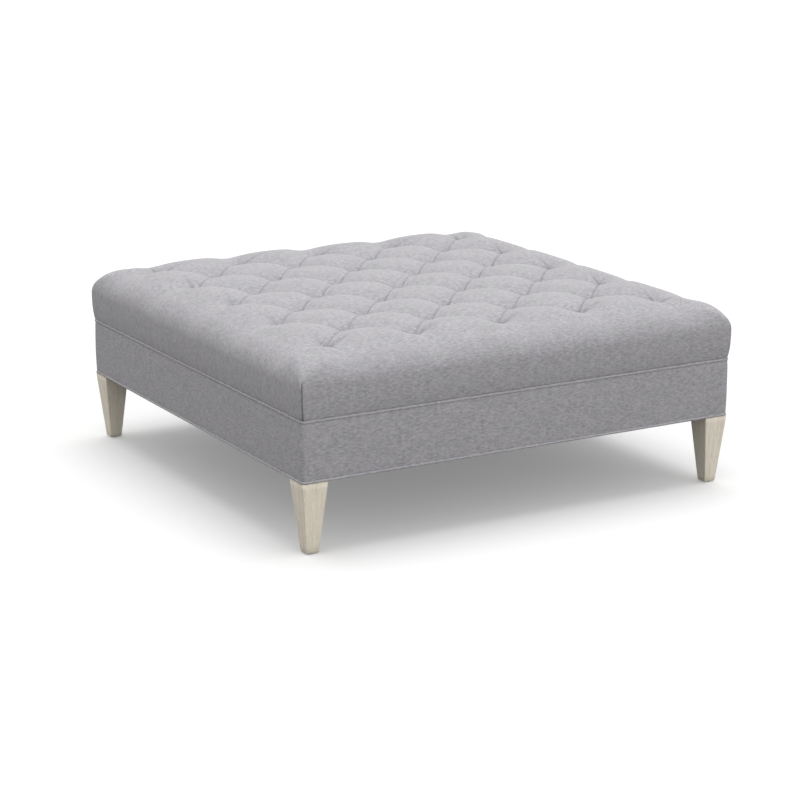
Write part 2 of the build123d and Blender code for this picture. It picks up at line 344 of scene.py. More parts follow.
def inner_level(x, y):
    """Level of the pillows inside the outer tufts."""
    inwards = tuft_row - np.maximum(np.abs(x), np.abs(y))
    top = crown_profile(row_inset + inwards) - dish_depth * blend_step(0, dish_reach, inwards)
    first, second = pleat_distances(x, y)
    half = pitch / sqrt(8)
    share_a, share_b = 1 - np.abs(first) / half, 1 - np.abs(second) / half
    pillow_a = np.floor((x - y) / pitch).astype(int) + 2 * tufts_per_side
    pillow_b = np.floor((x + y) / pitch).astype(int) + 2 * tufts_per_side
    dice = np.random.default_rng(pillow_seed)
    spread = dice.uniform(-1, 1, (4 * tufts_per_side, 4 * tufts_per_side))
    extra = spread[pillow_a, pillow_b] * ((1 - share_a**2) * (1 - share_b**2)) ** 2
    top += pillow_spread * extra * blend_step(0, pitch / 2, inwards)
    return top - (top - tuft_level) * pillow_drop(share_a, share_b)


def border_drop(x, y):
    """Share of the depth of the outer tufts, whose pits fade outwards."""
    beyond_x, beyond_y = np.abs(x) - tuft_row, np.abs(y) - tuft_row
    beside_x = np.where(beyond_x > 0, border_reach * beyond_x, nearest(x, pitch))
    beside_y = np.where(beyond_y > 0, border_reach * beyond_y, nearest(y, pitch))
    away = np.minimum(np.hypot(beside_x, beside_y), pitch / 2)
    share = 1 - away / (pitch / 2)
    return pillow_drop(share, share)


def cushion_base():
    """Points of the tufted middle and of the rings round it, before its folds."""
    line = np.linspace(-tuft_row, tuft_row, cells + 1)
    x, y = crowded(*np.meshgrid(line, line, indexing="ij"))
    middle = np.stack([x, y, inner_level(x, y) + swell_height * swell(x, y)], 2)
    rings = []
    for inset, level in zip(*cushion_profile()):
        half = cover_high.x - inset
        ring = cushion_ring(half, corner_radius_at(inset, level), level)
        x, y = ring[:, 0], ring[:, 1]
        past_row = blend_step(0, column_dip_start, row_inset - inset)
        dip = column_dip * hump(beside_tuft(on_side(ring)), column_dip_width)
        pit = (crown_level - tuft_level) * border_drop(x, y)
        into_corner = np.minimum(np.abs(x), np.abs(y)) - tuft_row
        rise = corner_rise * blend_step(0, corner_rise_reach, into_corner)
        ring[:, 2] += on_crown(level) * (swell_height * swell(x, y) + rise - pit - dip * past_row)
        rings.append(ring)
    return middle, np.array(rings)


# Seat cushion: folds along the pleats, pinched tufts, creases at the border and corner seams
fold_depth = 2.2 * MM
fold_width = 1.4 * MM
fold_start = 8 * MM  # from a tuft
lip_place = 3.5 * MM
lip_shift = 0.5 * MM
lip_lift = 1.4 * MM
pinch_depth = 3 * MM
pinch_width = 8 * MM
crease_depth = 7 * MM
crease_length = 46 * MM
crease_width = 3 * MM
crease_lip_lift = 1.5 * MM
crease_lip_place = 6 * MM
seam_depth = 6 * MM
seam_width = 1.5 * MM
seam_top = 368 * MM
seam_fade = 10 * MM
tuft_cloth = 1 * MM  # left over the pocket at a tuft


def pinch(x, y):
    """How far the cloth is drawn down at the tufts and creased along the outer ones."""
    depth = pinch_depth * hump(tuft_distance(x, y), pinch_width)
    for beside, away in ((x, y), (y, x)):
        at_row = hump(np.abs(away) - tuft_row, crease_width)
        depth += crease_depth * hump(beside_tuft(beside), crease_length) * at_row
    return depth


def add_folds(middle, rings, plan, ring_plan):
    """Tucks the cloth along its pleats, tufts and seams, placed by its plan before it swelled."""
    x, y = plan[..., 0], plan[..., 1]
    first, second = pleat_distances(x, y)
    clear = blend_step(0, fold_start, tuft_distance(x, y))
    for distance, heading in ((first, (1, -1)), (-second, (-1, -1))):
        lip = hump(distance - lip_place, lip_place) * clear
        middle[..., :2] -= (lip * lip_shift / sqrt(2))[..., None] * heading
        middle[..., 2] += lip * lip_lift - fold_depth * hump(distance, fold_width) * clear
    inwards = tuft_row - np.maximum(np.abs(x), np.abs(y))
    beside = hump(beside_tuft(on_side(plan)), crease_length)
    lip = hump(inwards - crease_lip_place, crease_lip_place / 2) * beside
    middle[..., 2] += crease_lip_lift * lip - pinch(x, y)

    x, y = ring_plan[..., 0], ring_plan[..., 1]
    level = ring_plan[..., 2]
    rings[..., 2] -= on_crown(level) * pinch(x, y)
    off_diagonal = np.abs(np.abs(x) - np.abs(y)) / sqrt(2)
    at_corner = np.minimum(np.abs(x), np.abs(y)) > tuft_row
    seam = hump(off_diagonal, seam_width) * (1 - blend_step(seam_top - seam_fade, seam_top, level))
    inwards = (seam * at_corner * seam_depth / sqrt(2))[..., None]
    rings[..., :2] -= np.sign(ring_plan[..., :2]) * inwards
    lowest = pocket_roof + tuft_cloth
    middle[..., 2] = np.maximum(middle[..., 2], lowest)
    rings[:top_rings, :, 2] = np.maximum(rings[:top_rings, :, 2], lowest)
    rings[0] = middle.reshape(-1, 3)[ring_ids(1)[0]]


# Seat cushion: its mesh
def ring_ids(ring_count, stride=1):
    """Point numbers of each ring; the first runs along the middle's own border."""
    steps, corner = cells // stride, corner_steps // stride
    size = steps + 1
    step = np.arange(steps)
    runs = (
        (step * size, steps * size),
        (steps * size + step, steps * size + steps),
        ((steps - step) * size + steps, steps),
        (steps - step, 0),
    )
    border = [np.concatenate([run, np.full(corner, tip)]) for run, tip in runs]
    width = columns // stride
    others = size * size + np.arange((ring_count - 1) * width).reshape(-1, width)
    return np.concatenate([[np.concatenate(border)], others])


def middle_faces(stride=1):
    """Quads of the tufted middle, cut in two along the pleats."""
    steps = cells // stride
    size, per_cell = steps + 1, fine_per_cell // stride
    i, j = np.meshgrid(np.arange(steps), np.arange(steps), indexing="ij")
    i, j = i.ravel(), j.ravel()
    loop = [i * size + j, (i + 1) * size + j, (i + 1) * size + j + 1, i * size + j + 1]
    first = (i - j) % per_cell == 0
    second = (i + j + 1) % per_cell == 0
    faces = []
    for pick, orders in (
        (first, ((0, 1, 2), (0, 2, 3))),
        (second, ((0, 1, 3), (1, 2, 3))),
        (~first & ~second, ((0, 1, 2, 3),)),
    ):
        for order in orders:
            faces += np.stack([loop[k][pick] for k in order], 1).tolist()
    return faces


def ring_faces(ids):
    """Faces between the rings, with the row and column of each corner of each face."""
    rows, width = ids.shape
    face_rows, face_columns = lattice(rows - 1, width)
    face_columns = face_columns % width
    faces = ids[face_rows, face_columns]
    thin = faces[:, 2] == faces[:, 3]
    whole = (faces[~thin], face_rows[~thin], face_columns[~thin])
    three_sided = (faces[thin][:, :3], face_rows[thin][:, :3], face_columns[thin][:, :3])
    return whole, three_sided


def ring_cloth(everything, face_rows, face_columns):
    """Weave coordinates on the rings: each side continues the cloth of the middle."""
    drop = np.linalg.norm(np.diff(everything, axis=0), axis=2).max(axis=1)
    reach = (tuft_row + np.concatenate([[0], np.cumsum(drop)]))[face_rows]
    plan = everything[face_rows, face_columns]
    px, py = plan[..., 0], plan[..., 1]
    quarter = columns // 4
    column = face_columns[:, :1]
    past_corner = column % quarter >= cells + corner_steps // 2
    side = (column // quarter + past_corner) % 4
    u = np.choose(side, [px, reach, px, -reach])
    v = np.choose(side, [-reach, py, reach, py])
    return np.stack([u, v], -1).reshape(-1, 2)


def build_cushion(name, middle, rings, closing_rings):
    """One closed mesh: the tufted middle, the rings round it and the pocket underneath."""
    everything = np.concatenate([rings, closing_rings])
    ids = ring_ids(len(everything))
    points = np.concatenate([middle.reshape(-1, 3), everything[1:].reshape(-1, 3)])
    faces = middle_faces()
    uv = [points[[corner for face in faces for corner in face]][:, :2]]
    for ring_part, face_rows, face_columns in ring_faces(ids):
        faces += ring_part.tolist()
        uv.append(ring_cloth(everything, face_rows, face_columns))
    roof = ids[-1][::-1].tolist()
    faces.append(roof)
    uv.append(points[roof][:, :2])
    return mesh_piece(name, points, faces, np.concatenate(uv))


# Seat cushion: the cover blown up over its fill by a cloth simulation
sim_stride = 2
sim_frames = 20
sim_pressure = 4
sim_growth = 0.004  # of the cloth's length
sim_cap = 3 * MM
sim_bending = 4
sim_pinned_rows = 2
roll_share = 0.2  # of the swelling, left on the roll and the sides
pleat_hold = 0.6 * MM


def doubled(grid, closed):
    """A grid with a point put halfway between each two of its rows, on a smooth curve."""
    before = np.roll(grid, 1, axis=0)
    after = np.roll(grid, -1, axis=0)
    beyond = np.roll(grid, -2, axis=0)
    if not closed:
        before[0] = 2 * grid[0] - grid[1]
        beyond[-2] = 2 * grid[-1] - grid[-2]
    between = (9 * (grid + after) - before - beyond) / 16
    result = np.empty((2 * len(grid), *grid.shape[1:]))
    result[0::2] = grid
    result[1::2] = between
    return result if closed else result[:-1]


def blown_up(points, faces, held):
    """The points after the pressure of the fill, each moved by less than the cap."""
    mesh = bpy.data.meshes.new("trial")
    mesh.from_pydata(points.tolist(), [], faces)
    trial = placed("trial", mesh)
    group = trial.vertex_groups.new(name="held")
    group.add(np.flatnonzero(held).tolist(), 1, "REPLACE")
    cloth_modifier = trial.modifiers.new("cloth", "CLOTH")
    cloth_modifier.point_cache.frame_end = sim_frames
    settings = cloth_modifier.settings
    settings.vertex_group_mass = group.name
    settings.use_pressure = True
    settings.uniform_pressure_force = sim_pressure
    settings.shrink_min = -sim_growth
    settings.bending_stiffness = sim_bending
    settings.effector_weights.gravity = 0
    for frame_number in range(1, sim_frames + 1):
        scene.frame_set(frame_number)
    blown = trial.evaluated_get(bpy.context.evaluated_depsgraph_get()).data
    moved = np.empty(3 * len(points), np.float32)
    blown.vertices.foreach_get("co", moved)
    bpy.data.objects.remove(trial)
    scene.frame_set(1)
    shift = moved.reshape(-1, 3) - points
    length = np.linalg.norm(shift, axis=1, keepdims=True)
    return shift * sim_cap * np.tanh(length / sim_cap) / np.maximum(length, tiny)


def swell_cushion(middle, rings):
    """Adds the simulated swelling, found on every second line of the mesh, to all of it."""
    coarse, coarse_rings = middle[::sim_stride, ::sim_stride], rings[::sim_stride, ::sim_stride]
    points = np.concatenate([coarse.reshape(-1, 3), coarse_rings[1:].reshape(-1, 3)])
    ids = ring_ids(len(coarse_rings), sim_stride)
    faces = middle_faces(sim_stride)
    for part, _, _ in ring_faces(ids):
        faces += part.tolist()
    first, second = pleat_distances(points[:, 0], points[:, 1])
    in_middle = np.arange(len(points)) < coarse.shape[0] * coarse.shape[1]
    held = in_middle & (np.minimum(np.abs(first), np.abs(second)) < pleat_hold)
    held[ids[-sim_pinned_rows:].ravel()] = True
    off_diagonal = np.abs(np.abs(points[:, 0]) - np.abs(points[:, 1]))
    held |= ~in_middle & (off_diagonal < pleat_hold) & (points[:, 2] < seam_top)
    shift = blown_up(points, faces, held)
    middle_shift = doubled(shift[: coarse[..., 0].size].reshape(coarse.shape), False)
    middle_shift = doubled(middle_shift.swapaxes(0, 1), False).swapaxes(0, 1)
    ring_shift = doubled(shift[ids], False)
    ring_shift = doubled(ring_shift.swapaxes(0, 1), True).swapaxes(0, 1)
    middle += middle_shift
    share = np.interp(np.arange(len(rings)), (0, top_rings), (1, roll_share))
    rings += share[:, None, None] * ring_shift


# Seat cushion: the pocket for its fill, and all of it put together
pocket_gap = 0.3 * MM
pocket_half = batting_high.x + pocket_gap
pocket_roof = batting_high.z + pocket_gap
pocket_bevel = 30 * MM
pocket_radius = 40 * MM
middle, rings = cushion_base()
plan, ring_plan = middle.copy(), rings.copy()
swell_cushion(middle, rings)
add_folds(middle, rings, plan, ring_plan)
closing = []
for half, level in (
    (pocket_half, cover_low.z),
    (pocket_half, pocket_roof - pocket_bevel),
    (pocket_half - pocket_bevel, pocket_roof),
):
    closing.append(cushion_ring(half, min(pocket_radius, half - tuft_row), level))
cushion = build_cushion("tufted_seat_cover", middle, rings, closing)
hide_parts("tufted_cover")


# Small tools for materials
slot_colours = {row["slot"]: row["base_color"] for row in frame["record"]["materials"]}
sheen_roughness = 0.45
yarn_stride = 3.7  # from one yarn to the next through the noise


def shader_of(name, roughness, specular, sheen=0, metallic=0):
    """A new material with its node tree and its main shader."""
    material = bpy.data.materials.new(name)
    material.use_nodes = True
    tree = material.node_tree
    shader = tree.nodes["Principled BSDF"]
    for key, value in {
        "Roughness": roughness,
        "Metallic": metallic,
        "Specular IOR Level": specular,
        "Sheen Weight": sheen,
        "Sheen Roughness": sheen_roughness,
    }.items():
        shader.inputs[key].default_value = value
    return material, tree, shader


def node(tree, kind, links=None, **settings):
    """A node with its settings, whose inputs take values or other nodes' outputs."""
    made = tree.nodes.new("ShaderNode" + kind)
    for setting, value in settings.items():
        setattr(made, setting, value)
    for key, value in (links or {}).items():
        if isinstance(value, bpy.types.NodeSocket):
            tree.links.new(value, made.inputs[key])
        else:
            made.inputs[key].default_value = value
    return made


def cloth_place(tree):
    """Place along the cloth's own warp and weft."""
    return node(tree, "UVMap", uv_map="cloth").outputs["UV"]


def object_place(tree):
    """Place in the piece itself."""
    return node(tree, "TexCoord").outputs["Object"]


def noise(tree, place, detail, roughness=0.5):
    """Noise whose features are about 1 across."""
    links = {"Vector": place, "Scale": 1, "Detail": detail, "Roughness": roughness}
    return node(tree, "TexNoise", links).outputs["Fac"]


def grain(tree, place, stretch, detail=2, roughness=0.5, shift=(0, 0, 0)):
    """Noise whose features have the sizes given by stretch, in metres, along each axis."""
    scale = [1 / size for size in stretch]
    mapped = node(tree, "Mapping", {"Vector": place, "Scale": scale, "Location": shift})
    return noise(tree, mapped.outputs["Vector"], detail, roughness)


def maths(tree, operation, first, second=0.5, third=0.5):
    """One sum, of values or of other nodes' outputs."""
    links = {0: first, 1: second, 2: third}
    return node(tree, "Math", links, operation=operation).outputs[0]


def tone(tree, value, stops):
    """Colours by value; each stop is a place and a colour."""
    ramp = node(tree, "ValToRGB", {"Fac": value})
    elements = ramp.color_ramp.elements
    while len(elements) < len(stops):
        elements.new(0.5)
    for element, (place, colour) in zip(elements, stops):
        element.position = place
        element.color = (*colour, 1)
    return ramp.outputs["Color"]


def shaded(colour, factor):
    """The colour made lighter or darker."""
    return [channel * factor for channel in colour]


def blend(tree, factor, first, second, mode="MIX"):
    """Two colours mixed or multiplied."""
    links = {0: factor}
    for key, colour in ((6, first), (7, second)):  # the node's two colour inputs
        linked = isinstance(colour, bpy.types.NodeSocket)
        links[key] = colour if linked else (*colour, 1)
    return node(tree, "Mix", links, data_type="RGBA", blend_type=mode).outputs[2]


def bumped(tree, shader, height, distance, strength):
    """Gives the shader a relief of the given depth."""
    links = {"Height": height, "Distance": distance, "Strength": strength}
    tree.links.new(node(tree, "Bump", links).outputs["Normal"], shader.inputs["Normal"])


def mottled(tree, shader, value, base, darkest, lightest):
    """Colours the shader from a darker to a lighter shade of its base by the value."""
    colour = tone(tree, value, ((0.35, shaded(base, darkest)), (0.65, shaded(base, lightest))))
    tree.links.new(colour, shader.inputs["Base Color"])


def waves(tree, place, axis, spacing):
    """A sine along one axis of a place, with the given spacing."""
    parts = node(tree, "SeparateXYZ", {"Vector": place})
    return maths(tree, "SINE", maths(tree, "MULTIPLY", parts.outputs[axis], 2 * pi / spacing))


def yarns(tree, place, along, across, width, length):
    """Shade of each yarn: its own noise along it, the same over its width."""
    parts = node(tree, "SeparateXYZ", {"Vector": place}).outputs
    number = maths(tree, "FLOOR", maths(tree, "DIVIDE", parts[across], width))
    row = maths(tree, "MULTIPLY", number, yarn_stride)
    spot = {"X": maths(tree, "DIVIDE", parts[along], length), "Y": row}
    return noise(tree, node(tree, "CombineXYZ", spot).outputs["Vector"], 1)


# Materials
weft_pitch = 2.3 * MM
warp_pitch = 2.4 * MM
weft_slub = 10.5 * MM
warp_slub = 40 * MM
fibre_size = (2 * MM, 1.1 * MM, 1)
mottle_size = (90 * MM, 25 * MM, 1)
weave_relief = 0.08 * MM
cloth_sheen = 0.35
grain_band_size = (9 * MM, 260 * MM)  # across and along the grain
grain_fibre_size = (1.6 * MM, 60 * MM)
grain_pore_size = (0.6 * MM, 11 * MM)
grain_relief = 0.15 * MM
drawn_line_size = (0.4 * MM, 0.4 * MM, 6 * MM)
zinc_patch = 5 * MM
zinc_relief = 0.05 * MM
cambric_fibre = 0.7 * MM
cambric_cloud = 9 * MM
cambric_dot_spacing = 1.6 * MM
cambric_relief = 0.15 * MM


def linen(name, light=1.0):
    """Heathered grey upholstery weave with long slubs along its weft."""
    material, tree, shader = shader_of(name, 0.92, sheen=cloth_sheen, specular=0.12)
    place = cloth_place(tree)
    base = shaded(slot_colours["upholstery"], light)
    weft = yarns(tree, place, "X", "Y", weft_pitch, weft_slub)
    warp = yarns(tree, place, "Y", "X", warp_pitch, warp_slub)
    fibre = grain(tree, place, fibre_size, shift=(2, 9, 0))
    mottle = grain(tree, place, mottle_size, shift=(1, 8, 0))
    colour = tone(tree, weft, (
        (0.3, shaded(base, 1.2)),
        (0.45, shaded(base, 1.04)),
        (0.55, shaded(base, 0.95)),
        (0.7, shaded(base, 0.8)),
    ))
    for value, low, high in (
        (warp, [0.97] * 3, [1.03] * 3),
        (fibre, [0.93] * 3, [1.07] * 3),
        (mottle, (0.98, 0.99, 0.985), (1.025, 1.01, 1.02)),
    ):
        colour = blend(tree, 1.0, colour, tone(tree, value, ((0.35, low), (0.65, high))), "MULTIPLY")
    tree.links.new(colour, shader.inputs["Base Color"])
    ribs = waves(tree, place, "Y", weft_pitch)
    weave = maths(tree, "MULTIPLY_ADD", waves(tree, place, "X", 2 * warp_pitch), 0.5, ribs)
    relief = maths(tree, "MULTIPLY_ADD", weft, 2, weave)
    bumped(tree, shader, relief, weave_relief, 0.6)
    return material


def wood(name, slot, along, contrast, coarse=1.0, light=1.0, pale=None):
    """Sawn or planed wood whose grain runs along one axis of the object."""
    material, tree, shader = shader_of(name, 0.6, specular=0.35)
    base = shaded(slot_colours[slot], light)
    place = object_place(tree)

    def stretch(across, lengthwise):
        return [lengthwise if axis == along else across * coarse for axis in "XYZ"]

    bands = grain(tree, place, stretch(*grain_band_size), detail=3)
    fibres = grain(tree, place, stretch(*grain_fibre_size), detail=3, roughness=0.65)
    pores = grain(tree, place, stretch(*grain_pore_size), detail=1, shift=(4, 2, 7))
    figure = maths(tree, "MULTIPLY_ADD", fibres, 0.6, maths(tree, "MULTIPLY", bands, 0.4))
    colour = tone(tree, figure, (
        (0.38, shaded(base, 1 - contrast)),
        (0.5, base),
        (0.62, shaded(base, 1 + contrast * 0.6)),
    ))
    if pale:
        wash = tone(tree, pores, ((0.42, (0, 0, 0)), (0.64, (1, 1, 1))))
        colour = blend(tree, maths(tree, "MULTIPLY", wash, 0.35), colour, pale)
    tree.links.new(colour, shader.inputs["Base Color"])
    bumped(tree, shader, maths(tree, "ADD", fibres, pores), grain_relief, 0.5)
    return material


def fleece(name, slot, tuft, contrast=0.12, roughness=0.95, relief=0.6):
    """Fill, foam, twine or board with an even, fine mottle."""
    material, tree, shader = shader_of(name, roughness, sheen=0.1, specular=0.15)
    place = object_place(tree)
    fine = grain(tree, place, [tuft] * 3, detail=4, roughness=0.6)
    broad = grain(tree, place, [12 * tuft] * 3, shift=(3, 1, 2))
    value = maths(tree, "MULTIPLY_ADD", broad, 0.3, maths(tree, "MULTIPLY", fine, 0.7))
    mottled(tree, shader, value, slot_colours[slot], 1 - contrast, 1 + contrast)
    bumped(tree, shader, fine, tuft * relief, 0.7)
    return material


def plated(name, slot):
    """Bright zinc plate with fine drawing lines and dull patches."""
    material, tree, shader = shader_of(name, 0.35, metallic=1, specular=0.5)
    place = object_place(tree)
    lines = grain(tree, place, drawn_line_size)
    patches = grain(tree, place, [zinc_patch] * 3, detail=3)
    mottled(tree, shader, patches, slot_colours[slot], 0.85, 1.1)
    gloss = maths(tree, "MULTIPLY_ADD", patches, 0.3, 0.2)
    tree.links.new(gloss, shader.inputs["Roughness"])
    bumped(tree, shader, lines, zinc_relief, 0.4)
    return material


def cambric_weave(name):
    """Black spun dust cloth with a pressed dot pattern and stray fibres."""
    material, tree, shader = shader_of(name, 0.85, sheen=0.2, specular=0.2)
    place = object_place(tree)
    fibres = grain(tree, place, [cambric_fibre] * 3, detail=4, roughness=0.7)
    clouds = grain(tree, place, [cambric_cloud] * 3, detail=3)
    value = maths(tree, "MULTIPLY_ADD", clouds, 0.5, maths(tree, "MULTIPLY", fibres, 0.5))
    mottled(tree, shader, value, slot_colours["cambric"], 0.6, 1.9)
    across, along = (waves(tree, place, axis, cambric_dot_spacing) for axis in "XY")
    dots = maths(tree, "MULTIPLY", across, along)
    relief = maths(tree, "MULTIPLY_ADD", dots, 0.3, fibres)
    bumped(tree, shader, relief, cambric_relief, 0.6)
    return material


def dress(piece, material):
    """Gives a piece one material in place of any that it has."""
    piece.data.materials.clear()
    piece.data.materials.append(material)


cloth = linen("linen_weave")
# The welt cloth is the cover linen made 6% lighter: painted light for the bright line along the welt
# beads.
welt_cloth_painted_light = linen("linen_welt_painted_light", light=1.06)
# The legs' own bleached wood colour, made 1.5 times lighter: painted light that makes up for the bounce
# light they lack.
leg_wood = wood("bleached_wood_painted_light", "leg_wood", "Z", contrast=0.16, light=1.5, pale=(0.96, 0.86, 0.68))
frame_wood_x = wood("softwood_x", "frame_wood", "X", coarse=1.6, contrast=0.25)
frame_wood_y = wood("softwood_y", "frame_wood", "Y", coarse=1.6, contrast=0.25)
plywood = wood("plywood", "deck_plywood", "X", coarse=2.2, contrast=0.18)
foam = fleece("foam", "foam", 1.2 * MM)
padding = fleece("batting", "padding", 2.5 * MM, contrast=0.06, relief=0.9)
cotton = fleece("cotton_cord", "cotton", 0.8 * MM)
fibreboard = fleece("fibreboard", "washer_board", 0.6 * MM, contrast=0.25)
nylon = fleece("nylon", "glide_nylon", 0.5 * MM, contrast=0.1, roughness=0.5, relief=0.1)
zinc = plated("zinc_plate", "zinc_steel")
cambric = cambric_weave("cambric")

dress(cushion, cloth)
for finish, names in (
    (frame_wood_x, ["front_rail", "rear_rail"] + ["corner_block_" + corner for corner in corners]),
    (frame_wood_y, ["left_rail", "right_rail", "left_stretcher", "right_stretcher"]),
    (plywood, ["deck_board"]),
    (zinc, ["hanger_bolts", "leg_nuts"]),
    (padding, ["apron_padding", "batting"]),
    (cotton, ["upper_welt_cord", "lower_welt_cord", "tuft_ties"]),
    (foam, ["seat_foam"]),
    (fibreboard, ["tuft_washers"]),
    (nylon, ["foot_glides"]),
):
    for name in names:
        dress(nodes[name], finish)

# Apron: cloth drawn tight over its padding, with a soft belly
apron_cloth_thickness = 1.5 * MM
apron_belly = 1.2 * MM
apron_belly_power = 0.6
apron_pull = 0.35 * MM
apron_pull_wavelength = 160 * MM
apron_edge_turn = 0.2 * MM
apron_edge_width = 1 * MM
apron_inner_clearance = 0.3 * MM
apron_steps = (110, 6)  # along a side and round a corner
apron_rows = 14
apron_edge_hold = 0.5 * MM
tension = wander(11, apron_pull_wavelength, 12)


def apron_rings():
    """Rings down the outside of the cloth and back up its inside."""
    outer_half = apron_high.x
    height = apron_high.z - apron_low.z
    corner = frame_corner_radius + outer_half - frame_half
    rings = []
    hold_share = apron_edge_hold / height
    shares = np.concatenate([np.linspace(0, 1, apron_rows + 1), [hold_share, 1 - hold_share]])
    for share in np.sort(shares):
        level = apron_high.z - height * share
        swell_out = apron_belly * sin(pi * share) ** apron_belly_power
        if share < 0.5:
            swell_out -= apron_edge_turn * hump(height * share, apron_edge_width)
        ring = rounded_ring(outer_half + swell_out, corner + swell_out, level, *apron_steps)
        # the pulls are finer along a side than up it, and unlike on each side
        side_place = 3 * on_side(ring) + ring[:, 0] / 2
        push = apron_pull * sin(pi * share) * tension(side_place, 2 * level + ring[:, 1] / 2)
        outward = ring[:, :2] / np.abs(ring[:, :2]).max(axis=1, keepdims=True)
        ring[:, :2] += outward * push[:, None] * (np.abs(outward) > nearly_one)
        rings.append(ring)
    inner_half, inner_corner = outer_half - apron_cloth_thickness, corner - apron_cloth_thickness
    for level in (apron_low.z + apron_inner_clearance, apron_high.z - apron_inner_clearance):
        rings.append(rounded_ring(inner_half, inner_corner, level, *apron_steps))
    return rings


apron = skin("apron_cloth", apron_rings())
dress(apron, cloth)
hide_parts("apron_cover")

# Welts: a strip of the cloth folded round a cord, with both its edges in a flange
welt_radius = 3.2 * MM
welt_bore = 2 * MM
welt_standoff = 3.9 * MM
flange_thickness = 1.5 * MM
flange_height = 22 * MM
flange_slit = 0.1 * MM
welt_turns = 19
welt_steps = (72, 8)
waver_height = 0.2 * MM
waver_wavelength = 90 * MM
waver = wander(21, waver_wavelength, 10)


def welt_section(lean):
    """Section of the folded strip as distances out and up; lean is -1 where its flange hangs."""

    def arc(radius, start):
        turns = np.linspace(start, -start, welt_turns)
        return [(welt_standoff + radius * cos(turn), -lean * radius * sin(turn)) for turn in turns]

    outer = arc(welt_radius, np.arccos((flange_thickness - welt_standoff) / welt_radius))
    bore = arc(welt_bore, flange_slit / welt_bore - pi)
    slit = flange_thickness / 2
    foot = lean * flange_height
    section = [(0, -lean * welt_bore), *outer, (flange_thickness, foot), (slit + flange_slit / 2, foot)]
    section += [(slit + flange_slit / 2, lean * flange_slit), *bore, (slit - flange_slit / 2, 0)]
    section += [(slit - flange_slit / 2, foot), (0, foot)]
    return section if lean < 0 else section[::-1]


def welt_rings(level, lean):
    """The section carried round the frame, its outer side a little uneven."""
    rings = []
    for out, up in welt_section(lean):
        corner = frame_corner_radius + out
        ring = rounded_ring(frame_half + out, corner, level + up, *welt_steps)
        if out > flange_thickness:
            ring[:, 2] += waver_height * waver(4 * on_side(ring) + ring[:, 0], ring[:, 1] + 9 * level)
        rings.append(ring)
    return rings


for name, lean in (("upper_welt", -1), ("lower_welt", 1)):
    cord_low, cord_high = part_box(name + "_cord")
    tube = skin(name + "_piping", welt_rings((cord_low.z + cord_high.z) / 2, lean))
    dress(tube, welt_cloth_painted_light)
    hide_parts(name)

# Legs: four tapered faces with eased edges
leg_foot_half = 13.85 * MM
leg_top_half = (leg_high.x - leg_low.x) / 2
leg_edge = 1.6 * MM
edge_hold = 0.5 * MM
foot_ease = 1.2 * MM
bolt_in_leg = 50 * MM
bolt_hole_radius = 4.2 * MM
bolt_radius = 4 * MM
leg_steps = (6, 4)
leg_rows = 12


def leg_rings(centre_x, centre_y):
    """Rings up the bolt hole, over the top and down the four faces to the foot."""
    centre = np.array([centre_x, centre_y, 0])
    bolt = (bolts_high.x - bolt_radius) * np.sign(centre[:2])

    def outline(half, level):
        return rounded_ring(half, leg_edge, level, *leg_steps, edge_hold)

    rings = []
    for level in (leg_high.z - bolt_in_leg, leg_high.z):
        ring = outline(leg_top_half, level)
        ring[:, :2] *= bolt_hole_radius / np.linalg.norm(ring[:, :2], axis=1, keepdims=True)
        ring[:, :2] += bolt
        rings.append(ring)
    rings.append(centre + outline(leg_top_half - edge_hold, leg_high.z))
    height = leg_high.z - leg_low.z
    for share in np.linspace(0, 1, leg_rows + 1):
        half = leg_top_half + (leg_foot_half - leg_top_half) * share
        rings.append(centre + outline(half, leg_high.z - height * share))
    rings[-1][:, 2] += foot_ease
    rings.append(centre + outline(leg_foot_half - foot_ease, leg_low.z))
    return rings


leg_centre = leg_low.x + leg_top_half
for corner, (side_x, side_y) in corners.items():
    name = "leg_" + corner
    stack = leg_rings(side_x * leg_centre, side_y * leg_centre)
    ends = ((0, 1), (len(stack) - 1, -1))
    leg = skin(name + "_wood", stack, ends)
    dress(leg, leg_wood)
    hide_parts(name)

# Dust cover: a sheet of cambric with its edge folded over and stapled under the rails
dust_half = dust_high.x
dust_thickness = dust_high.z - dust_low.z
dust_hem = 14 * MM
dust_sag = 5 * MM
pucker_depth = 0.9 * MM
pucker_reach = 45 * MM
leg_clearance = 1.5 * MM
notch = leg_low.x - leg_clearance
staple_spacing = 55 * MM
staple_line = 515 * MM
staple_crown = 10 * MM
staple_wire = 0.45 * MM
staple_sides = 6
staple_rings = 4
notch_steps = 3
middle_steps = 68


def slab(name, line, kept, underside, thickness):
    """Closed sheet on a square grid: kept(x, y) picks its cells, underside(x, y) is its level."""
    count = len(line)
    x, y = np.meshgrid(line, line, indexing="ij")
    under = np.stack([x, y, underside(x, y)], 2).reshape(-1, 3)
    points = np.concatenate([under, under + [0, 0, thickness]])
    centre = (line[1:] + line[:-1]) / 2
    cell_kept = np.pad(kept(*np.meshgrid(centre, centre, indexing="ij")), 1)
    faces = []
    for i, j in np.argwhere(cell_kept[1:-1, 1:-1]):
        first = int(i * count + j)
        loop = [first, first + count, first + count + 1, first + 1]
        above = [corner + count * count for corner in loop]
        faces += [above, loop[::-1]]
        for side, (di, dj) in enumerate(((0, -1), (1, 0), (0, 1), (-1, 0))):
            if not cell_kept[i + 1 + di, j + 1 + dj]:
                following = (side + 1) % 4
                faces.append([loop[side], loop[following], above[following], above[side]])
    used, renumbered = np.unique([corner for face in faces for corner in face], return_inverse=True)
    uv = points[used][renumbered][:, :2]
    numbers = iter(renumbered.tolist())
    faces = [[next(numbers) for _ in face] for face in faces]
    return mesh_piece(name, points[used], faces, uv)


